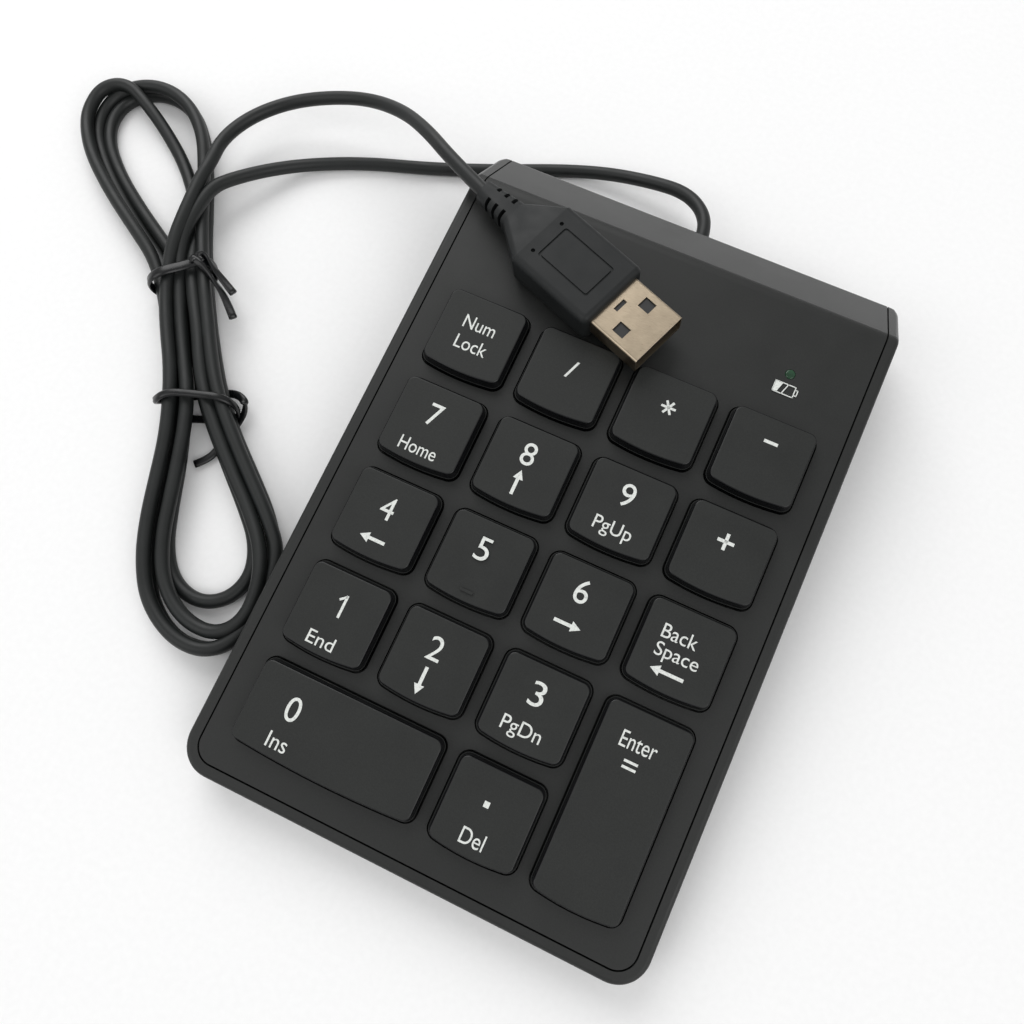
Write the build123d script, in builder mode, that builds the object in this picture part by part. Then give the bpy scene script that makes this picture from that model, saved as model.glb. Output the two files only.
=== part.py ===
from build123d import *
from math import cos, pi, radians, sin, tan
import os

os.makedirs("parts", exist_ok=True)

# A wired numeric keypad that stands on its feet, in millimetres. The front is at -Y, the cable leaves
# the back at +Y, and z = 0 is the surface that the feet, the hank of cable and its ties lie on.
# "Deck coordinates" are x across, y along the sloping deck from the middle of the key grid, and a
# height above the deck.

# ------------------------------------------------------------------ driving dimensions: case
TILT = 5.3                # slope of the deck, degrees
CASE_LENGTH = 134.2
CASE_WIDTH = 87.6
FRONT_HEIGHT = 8.4        # front edge of the deck above the floor
DECK_LENGTH = 123.7       # front edge to the ridge
BEVEL_LENGTH = 10.3       # ridge to the back wall, along the deck
BEVEL_DROP = 7.7
GRID_TO_FRONT = 54.2      # middle of the key grid to the front edge
SIDE_DRAFT = 5.0
FRONT_CORNER = 6.0
REAR_CORNER = 2.4
RIDGE_ROUND = 3.5
RIM_ROUND = 0.9
UNDERSIDE = 1.0
FLOOR_THICKNESS = 1.5
RAIL_WIDTH = 2.3
FRONT_RAIL = 2.2
BACK_WALL = 2.1
SKIN = 1.6                # deck plate thickness
SEAM = 0.3                # groove between the rail and the deck plate
PARTING = 12.6            # top of the back wall

# ------------------------------------------------------------------ driving dimensions: keys
PITCH = 19.0
CAP_WIDTH = 16.2          # at the deck
CAP_DEPTH = 15.24
CAP_CORNER = 1.9
CAP_BOW = 0.75            # how far the front edge bows out
CAP_HEIGHT = 2.7
CAP_TAPER = 9.0
CAP_SKIRT = 2.4
CAP_WALL = 1.6
CAP_TOP_WALL = 1.3
CAP_FLANGE = 0.75
FLANGE_HEIGHT = 0.65
OPENING_GAP = 0.35
STEM_RADIUS = 2.5
STEM_END = -2.65
HOMING_BAR = (2.6, 0.5, 0.35)

# ------------------------------------------------------------------ driving dimensions: inside
STACK_WIDTH = 80.0
STACK_FRONT = -46.5
STACK_BACK = 47.0
DOME_SHEET_TOP = -4.9
DOME_SHEET = 0.3
DOME_FOOT = 4.0
DOME_CROWN = 2.4
DOME_TOP = -2.75
DOME_WALL = 0.4
MEMBRANE = 0.15
MEMBRANE_TOP = DOME_SHEET_TOP - DOME_SHEET
CONTACT_HOLE = 3.0
TAIL = (4.0, 20.0, 57.0)  # left, right and rear edges of the membrane tail
PLATE = 0.6
PLATE_TOP = MEMBRANE_TOP - 3 * MEMBRANE
PLATE_BOTTOM = PLATE_TOP - PLATE
BOARD = (-14.0, 32.5, 52.5, 65.5)
BOARD_TOP = -4.0
BOARD_BOTTOM = MEMBRANE_TOP
LED_PLACE = (27.58, 55.33)
LIGHT_GUIDE_RADIUS = 0.95

# ------------------------------------------------------------------ driving dimensions: cable
CORD_DIAMETER = 2.8
EXIT_X = 1.8
EXIT_HEIGHT = 9.0
EXIT_HOLE_RADIUS = 1.55
GROMMET_STOP = 61.0       # inner face of the rib that holds the cable's grommet
GROMMET_RADIUS = 2.9
GROMMET_LENGTH = 2.4
JACKET_END = 54.0         # where the cable's jacket is stripped
TIE_WIRE = 1.6

# ------------------------------------------------------------------ planes
SLOPE_COS = cos(radians(TILT))
SLOPE_SIN = sin(radians(TILT))
BACK_FACE = CASE_LENGTH / 2
GRID_Y = -BACK_FACE + GRID_TO_FRONT * SLOPE_COS
GRID_Z = FRONT_HEIGHT + GRID_TO_FRONT * SLOPE_SIN
RIDGE_Y = DECK_LENGTH - GRID_TO_FRONT
deck = Plane(origin=(0, GRID_Y, GRID_Z), x_dir=(1, 0, 0), z_dir=(0, -SLOPE_SIN, SLOPE_COS))
deck_down = Plane(origin=(0, GRID_Y, GRID_Z), x_dir=(1, 0, 0), z_dir=(0, SLOPE_SIN, -SLOPE_COS))
side = Plane(origin=(0, GRID_Y, GRID_Z), x_dir=(0, SLOPE_COS, SLOPE_SIN), z_dir=(1, 0, 0))
DECK_UP = Axis((0, GRID_Y, GRID_Z), (0, -SLOPE_SIN, SLOPE_COS))
FOOT_UP = (Align.CENTER, Align.CENTER, Align.MIN)

COLUMNS = [PITCH * (i - 1.5) for i in range(4)]
ROWS = [PITCH * (2 - i) for i in range(5)]


def deck_point(y, height):
    """World y and z of a point given in deck coordinates."""
    world_y = GRID_Y + y * SLOPE_COS - height * SLOPE_SIN
    world_z = GRID_Z + y * SLOPE_SIN + height * SLOPE_COS
    return world_y, world_z


def deck_height(y, z):
    """Height above the deck of the level z, at a place y along the deck."""
    return (z - GRID_Z - y * SLOPE_SIN) / SLOPE_COS


def save(piece, name):
    """Label a finished piece and write its STEP file."""
    piece.part.label = name
    export_step(piece.part, "parts/" + name + ".step")


# ------------------------------------------------------------------ case shells
def tapered_prism(half_width, front, rear, corners):
    """A block under the deck whose outline draws in with depth. corners: front and rear radii."""
    with BuildPart() as prism:
        with BuildSketch(deck_down):
            with Locations((0, -(front + rear) / 2)):
                Rectangle(2 * half_width, rear - front)
            fillet(vertices().group_by(Axis.Y)[-1], corners[0])
            fillet(vertices().group_by(Axis.Y)[0], corners[1])
        extrude(amount=30, taper=SIDE_DRAFT)
    return prism.part


REAR_EDGE = RIDGE_Y + BEVEL_LENGTH + BEVEL_DROP * tan(radians(SIDE_DRAFT))
PAST_REAR = REAR_EDGE + 12

with BuildPart() as shell_block:
    with BuildSketch(side):
        with BuildLine():
            Polyline(
                (-GRID_TO_FRONT - 10, 0),
                (RIDGE_Y, 0),
                (RIDGE_Y + 3 * BEVEL_LENGTH, -3 * BEVEL_DROP),
                (-GRID_TO_FRONT - 10, -3 * BEVEL_DROP),
                close=True,
            )
        make_face()
        fillet(vertices().sort_by_distance((RIDGE_Y, 0))[0], RIDGE_ROUND)
    extrude(amount=CASE_WIDTH, both=True)
    add(
        tapered_prism(CASE_WIDTH / 2, -GRID_TO_FRONT, REAR_EDGE, (FRONT_CORNER, REAR_CORNER)),
        mode=Mode.INTERSECT,
    )
    with BuildSketch(Plane.XY.offset(UNDERSIDE)):
        Rectangle(2 * CASE_WIDTH, 2 * CASE_LENGTH)
    extrude(amount=40, mode=Mode.INTERSECT)
    upper_faces = faces().filter_by(lambda face: face.normal_at().Z > 0.3)
    seams = [edge for face in upper_faces for edge in face.edges()]
    rim = [edge for edge in seams if sum(edge.is_same(other) for other in seams) == 1]
    fillet(rim, RIM_ROUND)
    fillet(faces().sort_by(Axis.Z)[0].edges(), RIM_ROUND)

pocket = tapered_prism(
    CASE_WIDTH / 2 - RAIL_WIDTH,
    -GRID_TO_FRONT + FRONT_RAIL,
    REAR_EDGE - BACK_WALL,
    (FRONT_CORNER - FRONT_RAIL, REAR_CORNER),
)
cover_opening = tapered_prism(
    CASE_WIDTH / 2 - RAIL_WIDTH,
    -GRID_TO_FRONT + FRONT_RAIL,
    PAST_REAR,
    (FRONT_CORNER - FRONT_RAIL, REAR_CORNER),
)
cover_outline = tapered_prism(
    CASE_WIDTH / 2 - RAIL_WIDTH - SEAM,
    -GRID_TO_FRONT + FRONT_RAIL + SEAM,
    PAST_REAR,
    (FRONT_CORNER - FRONT_RAIL - SEAM, REAR_CORNER),
)

CASE_SCREWS = [(-38.4, -49.3), (38.4, -49.3), (-36.8, 60.0), (36.8, 60.0)]
CASE_SCREW_RADIUS = 1.0
CASE_SCREW_HEAD = (2.0, 1.2)                 # radius, height
CASE_SCREW_SEAT = -6.3                       # underside of the head's seat, deck height
CASE_SCREW_TIP = -1.1
CASE_BOSS_TOP = -4.4
PLATE_SCREWS = [(x, y) for x in (-39.2, 39.2) for y in (-38.0, 0.0, 38.0)]
PLATE_SCREW_RADIUS = 0.8
BOARD_SCREWS = [(0.4, 54.5), (23.6, 54.5), (-10.0, 62.5), (29.5, 62.5)]
FIT = 0.02                                   # screw in its hole, per side
FEET = [(-34.0, -56.0), (34.0, -56.0), (-34.0, 56.0), (34.0, 56.0)]
FOOT_RADIUS = 4.5
FOOT_RECESS = 0.6
RIB_PLACES = (-22.0, 0.0, 22.0)
RIB_TOP = PLATE_BOTTOM - 0.05
FLOOR_TOP = UNDERSIDE + FLOOR_THICKNESS

with BuildPart() as bottom_case:
    add(shell_block.part)
    with BuildSketch(Plane.XY.offset(FLOOR_TOP)):
        Rectangle(2 * CASE_WIDTH, 2 * CASE_LENGTH)
    inside = extrude(amount=40, mode=Mode.PRIVATE)
    add(pocket & inside, mode=Mode.SUBTRACT)
    with BuildSketch(Plane.XY.offset(PARTING)):
        Rectangle(2 * CASE_WIDTH, 2 * CASE_LENGTH)
    above_parting = extrude(amount=40, mode=Mode.PRIVATE)
    add(cover_opening & above_parting, mode=Mode.SUBTRACT)
    for x in RIB_PLACES:
        with BuildSketch(side.offset(x)):
            with BuildLine():
                Polyline(
                    (STACK_FRONT, RIB_TOP),
                    (STACK_BACK, RIB_TOP),
                    (STACK_BACK, deck_height(STACK_BACK, FLOOR_TOP - 0.5)),
                    (STACK_FRONT, deck_height(STACK_FRONT, FLOOR_TOP - 0.5)),
                    close=True,
                )
            make_face()
        extrude(amount=0.6, both=True)
    for x, y in CASE_SCREWS:
        boss_radius = 2.1 if y < 0 else 3.4
        foot = deck_height(y, UNDERSIDE + 0.75)
        with BuildSketch(deck.offset(foot)):
            with Locations((x, y)):
                Circle(boss_radius)
        extrude(amount=CASE_BOSS_TOP - foot)
    for x, y in CASE_SCREWS:
        with BuildSketch(deck.offset(CASE_BOSS_TOP + 1)):
            with Locations((x, y)):
                Circle(CASE_SCREW_RADIUS + FIT)
        extrude(amount=-25, mode=Mode.SUBTRACT)
        with BuildSketch(deck.offset(CASE_SCREW_SEAT)):
            with Locations((x, y)):
                Circle(CASE_SCREW_HEAD[0] + 0.15)
        extrude(amount=-25, mode=Mode.SUBTRACT)
    with BuildSketch(Plane.XY.offset(UNDERSIDE)):
        with Locations(*FEET):
            Circle(FOOT_RADIUS + 0.1)
    extrude(amount=FOOT_RECESS, mode=Mode.SUBTRACT)
    with BuildSketch(Plane.XZ.offset(-GROMMET_STOP - 1.5)):
        with Locations((EXIT_X, (FLOOR_TOP + EXIT_HEIGHT + 0.4) / 2)):
            Rectangle(10, EXIT_HEIGHT + 0.4 - FLOOR_TOP)
    extrude(amount=1.4)
    with BuildSketch(Plane.XZ.offset(-BACK_FACE - 5)):
        with Locations((EXIT_X, EXIT_HEIGHT)):
            Circle(EXIT_HOLE_RADIUS)
    extrude(amount=12, mode=Mode.SUBTRACT)
save(bottom_case, "bottom_case")


def key_outline(x, y, width, depth, corner):
    """A rounded key outline whose front edge bows out."""
    left, right = x - width / 2, x + width / 2
    front, back = y - depth / 2, y + depth / 2
    with BuildLine() as outline:
        Polyline((right, front), (right, back), (left, back), (left, front))
        ThreePointArc((left, front), (x, front - CAP_BOW), (right, front))
    make_face(outline.edges())
    fillet(vertices(), corner)


# Name, column and row of the top left cell, columns and rows covered.
KEYS = [
    ("key_num_lock", 0, 0, 1, 1), ("key_divide", 1, 0, 1, 1),
    ("key_multiply", 2, 0, 1, 1), ("key_subtract", 3, 0, 1, 1),
    ("key_7", 0, 1, 1, 1), ("key_8", 1, 1, 1, 1),
    ("key_9", 2, 1, 1, 1), ("key_add", 3, 1, 1, 1),
    ("key_4", 0, 2, 1, 1), ("key_5", 1, 2, 1, 1),
    ("key_6", 2, 2, 1, 1), ("key_backspace", 3, 2, 1, 1),
    ("key_1", 0, 3, 1, 1), ("key_2", 1, 3, 1, 1),
    ("key_3", 2, 3, 1, 1), ("key_enter", 3, 3, 1, 2),
    ("key_0", 0, 4, 2, 1), ("key_decimal", 2, 4, 1, 1),
]


def key_place(column, row, columns, rows):
    """Middle of a key, in deck coordinates."""
    return COLUMNS[column] + PITCH * (columns - 1) / 2, ROWS[row] - PITCH * (rows - 1) / 2


def key_size(columns, rows):
    """Width and depth of a key at the deck."""
    return CAP_WIDTH + PITCH * (columns - 1), CAP_DEPTH + PITCH * (rows - 1)


DOMES = [key_place(*key[1:]) for key in KEYS]

cover_profile_inner = [
    (-GRID_TO_FRONT - 10, -SKIN),
    (RIDGE_Y - 0.45 * SKIN, -SKIN),
    (RIDGE_Y - 0.45 * SKIN + 3 * BEVEL_LENGTH, -SKIN - 3 * BEVEL_DROP),
    (-GRID_TO_FRONT - 10, -SKIN - 3 * BEVEL_DROP),
]

with BuildPart() as top_cover:
    add(shell_block.part)
    add(cover_outline, mode=Mode.INTERSECT)
    with BuildSketch(Plane.XY.offset(PARTING + 0.12)):
        with Locations((0, BACK_FACE)):
            Rectangle(2 * CASE_WIDTH, 12)
    lower = extrude(amount=-40, mode=Mode.PRIVATE)
    with BuildSketch(side):
        with BuildLine():
            Polyline(*cover_profile_inner, close=True)
        make_face()
        fillet(vertices().sort_by_distance(cover_profile_inner[1])[0], RIDGE_ROUND - SKIN)
    extrude(amount=CASE_WIDTH, both=True, mode=Mode.SUBTRACT)
    add(lower, mode=Mode.SUBTRACT)
    for name, column, row, columns, rows in KEYS:
        x, y = key_place(column, row, columns, rows)
        width, depth = key_size(columns, rows)
        with BuildSketch(deck.offset(1)):
            key_outline(x, y, width + 2 * OPENING_GAP, depth + 2 * OPENING_GAP, CAP_CORNER + OPENING_GAP)
        extrude(amount=-SKIN - 2, mode=Mode.SUBTRACT)
    with BuildSketch(deck.offset(CASE_BOSS_TOP)):
        with Locations(*CASE_SCREWS):
            Circle(2.0)
    extrude(amount=-CASE_BOSS_TOP - 1)
    with BuildSketch(deck.offset(DOME_SHEET_TOP)):
        with Locations(*PLATE_SCREWS):
            Circle(1.7)
    extrude(amount=-DOME_SHEET_TOP - 1)
    with BuildSketch(deck.offset(BOARD_TOP)):
        with Locations(*BOARD_SCREWS):
            Circle(1.8)
    extrude(amount=-BOARD_TOP - 1)
    with BuildSketch(deck.offset(CASE_BOSS_TOP)):
        with Locations(*CASE_SCREWS):
            Circle(CASE_SCREW_RADIUS + FIT)
    extrude(amount=-CASE_BOSS_TOP - 1, mode=Mode.SUBTRACT)
    with BuildSketch(deck.offset(DOME_SHEET_TOP)):
        with Locations(*PLATE_SCREWS, *BOARD_SCREWS):
            Circle(PLATE_SCREW_RADIUS + FIT)
    extrude(amount=-DOME_SHEET_TOP - 1.2, mode=Mode.SUBTRACT)
    with BuildSketch(deck.offset(1)):
        with Locations(LED_PLACE):
            Circle(LIGHT_GUIDE_RADIUS + 0.025)
    extrude(amount=-SKIN - 2, mode=Mode.SUBTRACT)
save(top_cover, "top_cover")

# ------------------------------------------------------------------ keys
for name, column, row, columns, rows in KEYS:
    x, y = key_place(column, row, columns, rows)
    width, depth = key_size(columns, rows)
    with BuildPart() as key:
        with BuildSketch(deck) as cap_base:
            key_outline(x, y, width, depth, CAP_CORNER)
        extrude(cap_base.sketch, amount=CAP_HEIGHT, taper=CAP_TAPER)
        extrude(cap_base.sketch, amount=-CAP_SKIRT)
        fillet(faces().sort_by(DECK_UP)[-1].edges(), 0.4)
        with BuildSketch(deck.offset(-CAP_SKIRT)):
            key_outline(x, y, width + 2 * CAP_FLANGE, depth + 2 * CAP_FLANGE, CAP_CORNER + CAP_FLANGE)
        extrude(amount=FLANGE_HEIGHT)
        with BuildSketch(deck.offset(-CAP_SKIRT)):
            key_outline(x, y, width - 2 * CAP_WALL, depth - 2 * CAP_WALL, 0.8)
        extrude(amount=CAP_SKIRT + CAP_HEIGHT - CAP_TOP_WALL, mode=Mode.SUBTRACT)
        with BuildSketch(deck.offset(STEM_END)):
            with Locations((x, y)):
                Circle(STEM_RADIUS)
        extrude(amount=CAP_HEIGHT - CAP_TOP_WALL - STEM_END + 0.2)
        if name == "key_5":
            with BuildSketch(deck.offset(CAP_HEIGHT - 0.1)):
                with Locations((x, y - depth / 2 + 1.6)):
                    SlotOverall(HOMING_BAR[0], HOMING_BAR[1])
            extrude(amount=HOMING_BAR[2] + 0.1)
    save(key, name)

# ------------------------------------------------------------------ light guide and LED
with BuildPart(deck) as led_light_guide:
    with Locations((*LED_PLACE, -2.7)):
        Cylinder(LIGHT_GUIDE_RADIUS, 2.85, align=FOOT_UP)
    fillet(edges().sort_by(DECK_UP)[-1], 0.3)
    with Locations((*LED_PLACE, -SKIN - 0.5)):
        Cylinder(1.5, 0.5, align=FOOT_UP)
save(led_light_guide, "led_light_guide")

with BuildPart(deck) as status_led:
    with Locations((*LED_PLACE, BOARD_TOP)):
        Box(2.0, 1.25, 0.4, align=FOOT_UP)
        Box(1.3, 1.25, 1.1, align=FOOT_UP)
save(status_led, "status_led")

# ------------------------------------------------------------------ key stack
SHEET_MIDDLE = (STACK_FRONT + STACK_BACK) / 2
SHEET_DEPTH = STACK_BACK - STACK_FRONT
DOME_HEIGHT = DOME_TOP - DOME_SHEET_TOP

with BuildPart(deck) as rubber_dome_sheet:
    with Locations((0, SHEET_MIDDLE, MEMBRANE_TOP)):
        Box(STACK_WIDTH, SHEET_DEPTH, DOME_SHEET, align=FOOT_UP)
    with Locations(*[(x, y, DOME_SHEET_TOP) for x, y in DOMES]):
        Cone(DOME_FOOT, DOME_CROWN, DOME_HEIGHT, align=FOOT_UP)
    with Locations(*[(x, y, MEMBRANE_TOP) for x, y in DOMES]):
        Cone(
            DOME_FOOT,
            DOME_CROWN - DOME_WALL,
            DOME_HEIGHT + DOME_SHEET - DOME_WALL,
            align=FOOT_UP,
            mode=Mode.SUBTRACT,
        )
    with Locations(*[(x, y, MEMBRANE_TOP) for x, y in PLATE_SCREWS]):
        Cylinder(PLATE_SCREW_RADIUS + FIT, DOME_SHEET, align=FOOT_UP, mode=Mode.SUBTRACT)
save(rubber_dome_sheet, "rubber_dome_sheet")


def membrane_sheet(top, holes):
    """One layer of the contact membrane with its tail. holes: radius of the contact holes, or 0."""
    with BuildPart() as sheet:
        with BuildSketch(deck.offset(top)):
            with Locations((0, SHEET_MIDDLE)):
                Rectangle(STACK_WIDTH, SHEET_DEPTH)
            with Locations(((TAIL[0] + TAIL[1]) / 2, (STACK_BACK - 2 + TAIL[2]) / 2)):
                Rectangle(TAIL[1] - TAIL[0], TAIL[2] - STACK_BACK + 2)
            with Locations(*PLATE_SCREWS):
                Circle(PLATE_SCREW_RADIUS + FIT, mode=Mode.SUBTRACT)
            if holes > 0:
                with Locations(*DOMES):
                    Circle(holes, mode=Mode.SUBTRACT)
        extrude(amount=-MEMBRANE)
    return sheet


save(membrane_sheet(MEMBRANE_TOP, 0), "membrane_top_sheet")
save(membrane_sheet(MEMBRANE_TOP - MEMBRANE, CONTACT_HOLE), "membrane_spacer")
save(membrane_sheet(MEMBRANE_TOP - 2 * MEMBRANE, 0), "membrane_bottom_sheet")

with BuildPart() as backing_plate:
    with BuildSketch(deck.offset(PLATE_TOP)):
        with Locations((0, SHEET_MIDDLE)):
            RectangleRounded(STACK_WIDTH + 0.6, SHEET_DEPTH, 1.5)
        with Locations(*PLATE_SCREWS):
            Circle(PLATE_SCREW_RADIUS + FIT, mode=Mode.SUBTRACT)
    extrude(amount=-PLATE)
save(backing_plate, "backing_plate")


def screw_group(places, radius, head, seat, tip):
    """Identical screws along the deck normal, heads downwards. head: radius and height."""
    with BuildPart(deck) as screws:
        with Locations(*[(x, y, seat - head[1]) for x, y in places]):
            Cylinder(head[0], head[1], align=FOOT_UP)
            Cylinder(0.45 * head[0], 0.45 * head[1], align=FOOT_UP, mode=Mode.SUBTRACT)
        with Locations(*[(x, y, seat) for x, y in places]):
            Cylinder(radius, tip - seat, align=FOOT_UP)
    return screws


CLAMP_TOP = PLATE_TOP
CLAMP_HEIGHT = 1.95
save(
    screw_group(CASE_SCREWS, CASE_SCREW_RADIUS, CASE_SCREW_HEAD, CASE_SCREW_SEAT, CASE_SCREW_TIP),
    "case_screws",
)
save(screw_group(PLATE_SCREWS, PLATE_SCREW_RADIUS, (1.6, 0.8), PLATE_BOTTOM, -1.5), "plate_screws")
save(
    screw_group(BOARD_SCREWS[:2], PLATE_SCREW_RADIUS, (1.5, 0.9), CLAMP_TOP - CLAMP_HEIGHT, -1.5),
    "clamp_screws",
)
save(screw_group(BOARD_SCREWS[2:], PLATE_SCREW_RADIUS, (1.5, 0.9), BOARD_BOTTOM, -1.5), "board_screws")

# ------------------------------------------------------------------ circuit board
with BuildPart() as circuit_board:
    with BuildSketch(deck.offset(BOARD_BOTTOM)):
        with Locations(((BOARD[0] + BOARD[1]) / 2, (BOARD[2] + BOARD[3]) / 2)):
            RectangleRounded(BOARD[1] - BOARD[0], BOARD[3] - BOARD[2], 1.0)
        with Locations(*BOARD_SCREWS):
            Circle(PLATE_SCREW_RADIUS + FIT, mode=Mode.SUBTRACT)
    extrude(amount=BOARD_TOP - BOARD_BOTTOM)
save(circuit_board, "circuit_board")

with BuildPart(deck) as controller_chip:
    with Locations((12, 60.5, BOARD_TOP)):
        Cylinder(4.5, 1.1, align=FOOT_UP)
    fillet(edges().sort_by(DECK_UP)[-1], 0.8)
save(controller_chip, "controller_chip")

with BuildPart(deck) as board_parts:
    with Locations(*[(x, 58.0, BOARD_TOP) for x in (-8.0, -5.0, -2.0, 20.0)]):
        Box(1.0, 2.0, 0.6, align=FOOT_UP)
    with Locations((3.6, 61.5, BOARD_TOP)):
        Box(3.2, 5.0, 1.3, align=FOOT_UP)
    with Locations((21.5, 62.0, BOARD_TOP)):
        Cylinder(1.5, 1.9, align=FOOT_UP)
save(board_parts, "board_parts")

with BuildPart(deck) as tail_clamp_bar:
    with Locations((12, 54.5, CLAMP_TOP - CLAMP_HEIGHT)):
        Box(28, 3, CLAMP_HEIGHT, align=FOOT_UP)
    with Locations((0.5, 54.5, CLAMP_TOP), (23.5, 54.5, CLAMP_TOP)):
        Box(5, 3, BOARD_BOTTOM - CLAMP_TOP, align=FOOT_UP)
    with Locations(*[(x, y, CLAMP_TOP - CLAMP_HEIGHT) for x, y in BOARD_SCREWS[:2]]):
        Cylinder(PLATE_SCREW_RADIUS + FIT, 4, align=FOOT_UP, mode=Mode.SUBTRACT)
save(tail_clamp_bar, "tail_clamp_bar")

HEADER_PLACE = (-8.0, 56.5)
with BuildPart(deck) as cable_header:
    with Locations((*HEADER_PLACE, BOARD_BOTTOM - 3)):
        Box(9, 4.4, 3, align=FOOT_UP)
        Box(7.6, 3.0, 2.4, align=FOOT_UP, mode=Mode.SUBTRACT)
    with Locations(*[(HEADER_PLACE[0] + 1.6 * (i - 1.5), HEADER_PLACE[1], BOARD_BOTTOM - 2.6) for i in range(4)]):
        Box(0.5, 0.5, 2.6, align=FOOT_UP)
save(cable_header, "cable_header")

with BuildPart(deck) as cable_connector:
    with Locations((*HEADER_PLACE, BOARD_BOTTOM - 6.6)):
        Box(9, 4.4, 3.5, align=FOOT_UP)
save(cable_connector, "cable_connector")

# ------------------------------------------------------------------ cable inside the case
WALL_INSIDE = BACK_FACE - BACK_WALL

with BuildPart() as cable_grommet:
    with BuildSketch(Plane.XZ.offset(-GROMMET_STOP)):
        with Locations((EXIT_X, EXIT_HEIGHT)):
            Circle(GROMMET_RADIUS)
    extrude(amount=GROMMET_LENGTH)
    fillet(edges().group_by(Axis.Y)[0], 0.8)
    with BuildSketch(Plane.XZ.offset(-GROMMET_STOP - 1)):
        with Locations((EXIT_X, EXIT_HEIGHT)):
            Circle(CORD_DIAMETER / 2 + FIT)
    extrude(amount=GROMMET_LENGTH + 2, mode=Mode.SUBTRACT)
save(cable_grommet, "cable_grommet")

with BuildPart() as inner_cable:
    with BuildSketch(Plane.XZ.offset(-JACKET_END)):
        with Locations((EXIT_X, EXIT_HEIGHT)):
            Circle(CORD_DIAMETER / 2)
    extrude(amount=-(WALL_INSIDE - JACKET_END))
save(inner_cable, "inner_cable")

WIRE = 0.4                 # radius of one insulated wire
WIRE_START = deck_point(HEADER_PLACE[1] + 2.3, BOARD_BOTTOM - 5.0)
with BuildPart() as inner_wires:
    for i in range(4):
        start_x = HEADER_PLACE[0] + 1.6 * (i - 1.5)
        end_x = EXIT_X + (0.5 if i % 2 else -0.5)
        end_z = EXIT_HEIGHT + (0.5 if i > 1 else -0.5)
        with BuildLine() as wire_path:
            FilletPolyline(
                (start_x, *WIRE_START),
                (start_x, WIRE_START[0] + 1.8, WIRE_START[1]),
                (end_x, JACKET_END - 2.0, end_z),
                (end_x, JACKET_END, end_z),
                radius=0.9,
            )
        with BuildSketch(Plane.XZ.offset(-WIRE_START[0])):
            with Locations((start_x, WIRE_START[1])):
                Circle(WIRE)
        sweep(path=wire_path.line)
save(inner_wires, "inner_wires")

# ------------------------------------------------------------------ feet
with BuildPart() as rubber_feet:
    with BuildSketch():
        with Locations(*FEET):
            Circle(FOOT_RADIUS)
    extrude(amount=UNDERSIDE + FOOT_RECESS)
    fillet(faces().sort_by(Axis.Z).group_by(Axis.Z)[0].edges(), 0.4)
save(rubber_feet, "rubber_feet")

# ------------------------------------------------------------------ plug, lying on the deck
PLUG_TURN = -20.9          # direction of the plug across the deck, degrees from +X
PLUG_PITCH = 2.5           # its mouth is a little higher than its tail
PLUG_PLACE = (-7.09, 52.48, 5.06)   # middle of the shell where it leaves the overmold
SHELL_WIDTH = 12.0
SHELL_HEIGHT = 4.5
SHELL_WALL = 0.3
SHELL_OUT = 11.2
OVERMOLD_WIDTH = 15.2
OVERMOLD_HEIGHT = 7.7
OVERMOLD_LENGTH = 18.6
SHOULDER_LENGTH = 7.4
RELIEF_LENGTH = 8.3
RELIEF_HALF_WIDTH = 2.9

plug_middle = deck.location * Location(PLUG_PLACE) * Location((0, 0, 0), (0, 0, 1), PLUG_TURN)
plug_frame = Plane(plug_middle * Location((0, 0, 0), (0, 1, 0), -PLUG_PITCH))
# Plug coordinates: x towards the mouth, y to its left, z up through its flat side.
plug_across = Plane(origin=plug_frame.origin, x_dir=plug_frame.y_dir, z_dir=plug_frame.x_dir)


def rounded_section(distance, width, height, corner):
    """A rounded rectangle across the plug, at a distance along it."""
    with BuildSketch(plug_across.offset(distance)) as section:
        RectangleRounded(width, height, corner)
    return section.sketch


with BuildPart() as plug_shell:
    extrude(rounded_section(-3, SHELL_WIDTH, SHELL_HEIGHT, 0.5), amount=SHELL_OUT + 3)
    mouth = rounded_section(-2.7, SHELL_WIDTH - 2 * SHELL_WALL, SHELL_HEIGHT - 2 * SHELL_WALL, 0.3)
    extrude(mouth, amount=SHELL_OUT + 4, mode=Mode.SUBTRACT)
    with BuildSketch(plug_frame):
        with Locations((5.1, 3.3), (5.1, -3.3)):
            Rectangle(2.5, 2.3)
        with Locations((1.6, 0)):
            Rectangle(0.9, 2.6)
    extrude(amount=5, mode=Mode.SUBTRACT)
    with BuildSketch(plug_frame):
        with Locations((5.1, 3.3), (5.1, -3.3)):
            Rectangle(2.5, 2.3)
    extrude(amount=-5, mode=Mode.SUBTRACT)
save(plug_shell, "plug_shell")

with BuildPart() as plug_insulator:
    with BuildSketch(plug_across.offset(-2.6)):
        with Locations((0, 0.95)):
            Rectangle(10.9, 1.85)
    extrude(amount=SHELL_OUT + 2.2)
save(plug_insulator, "plug_insulator")

with BuildPart() as plug_contacts:
    for y in (-3.5, -1.0, 1.0, 3.5):
        with BuildSketch(plug_across.offset(-2.4)):
            with Locations((y, -0.1)):
                Rectangle(1.0, 0.2)
        extrude(amount=SHELL_OUT + 1.0)
save(plug_contacts, "plug_contacts")

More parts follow.
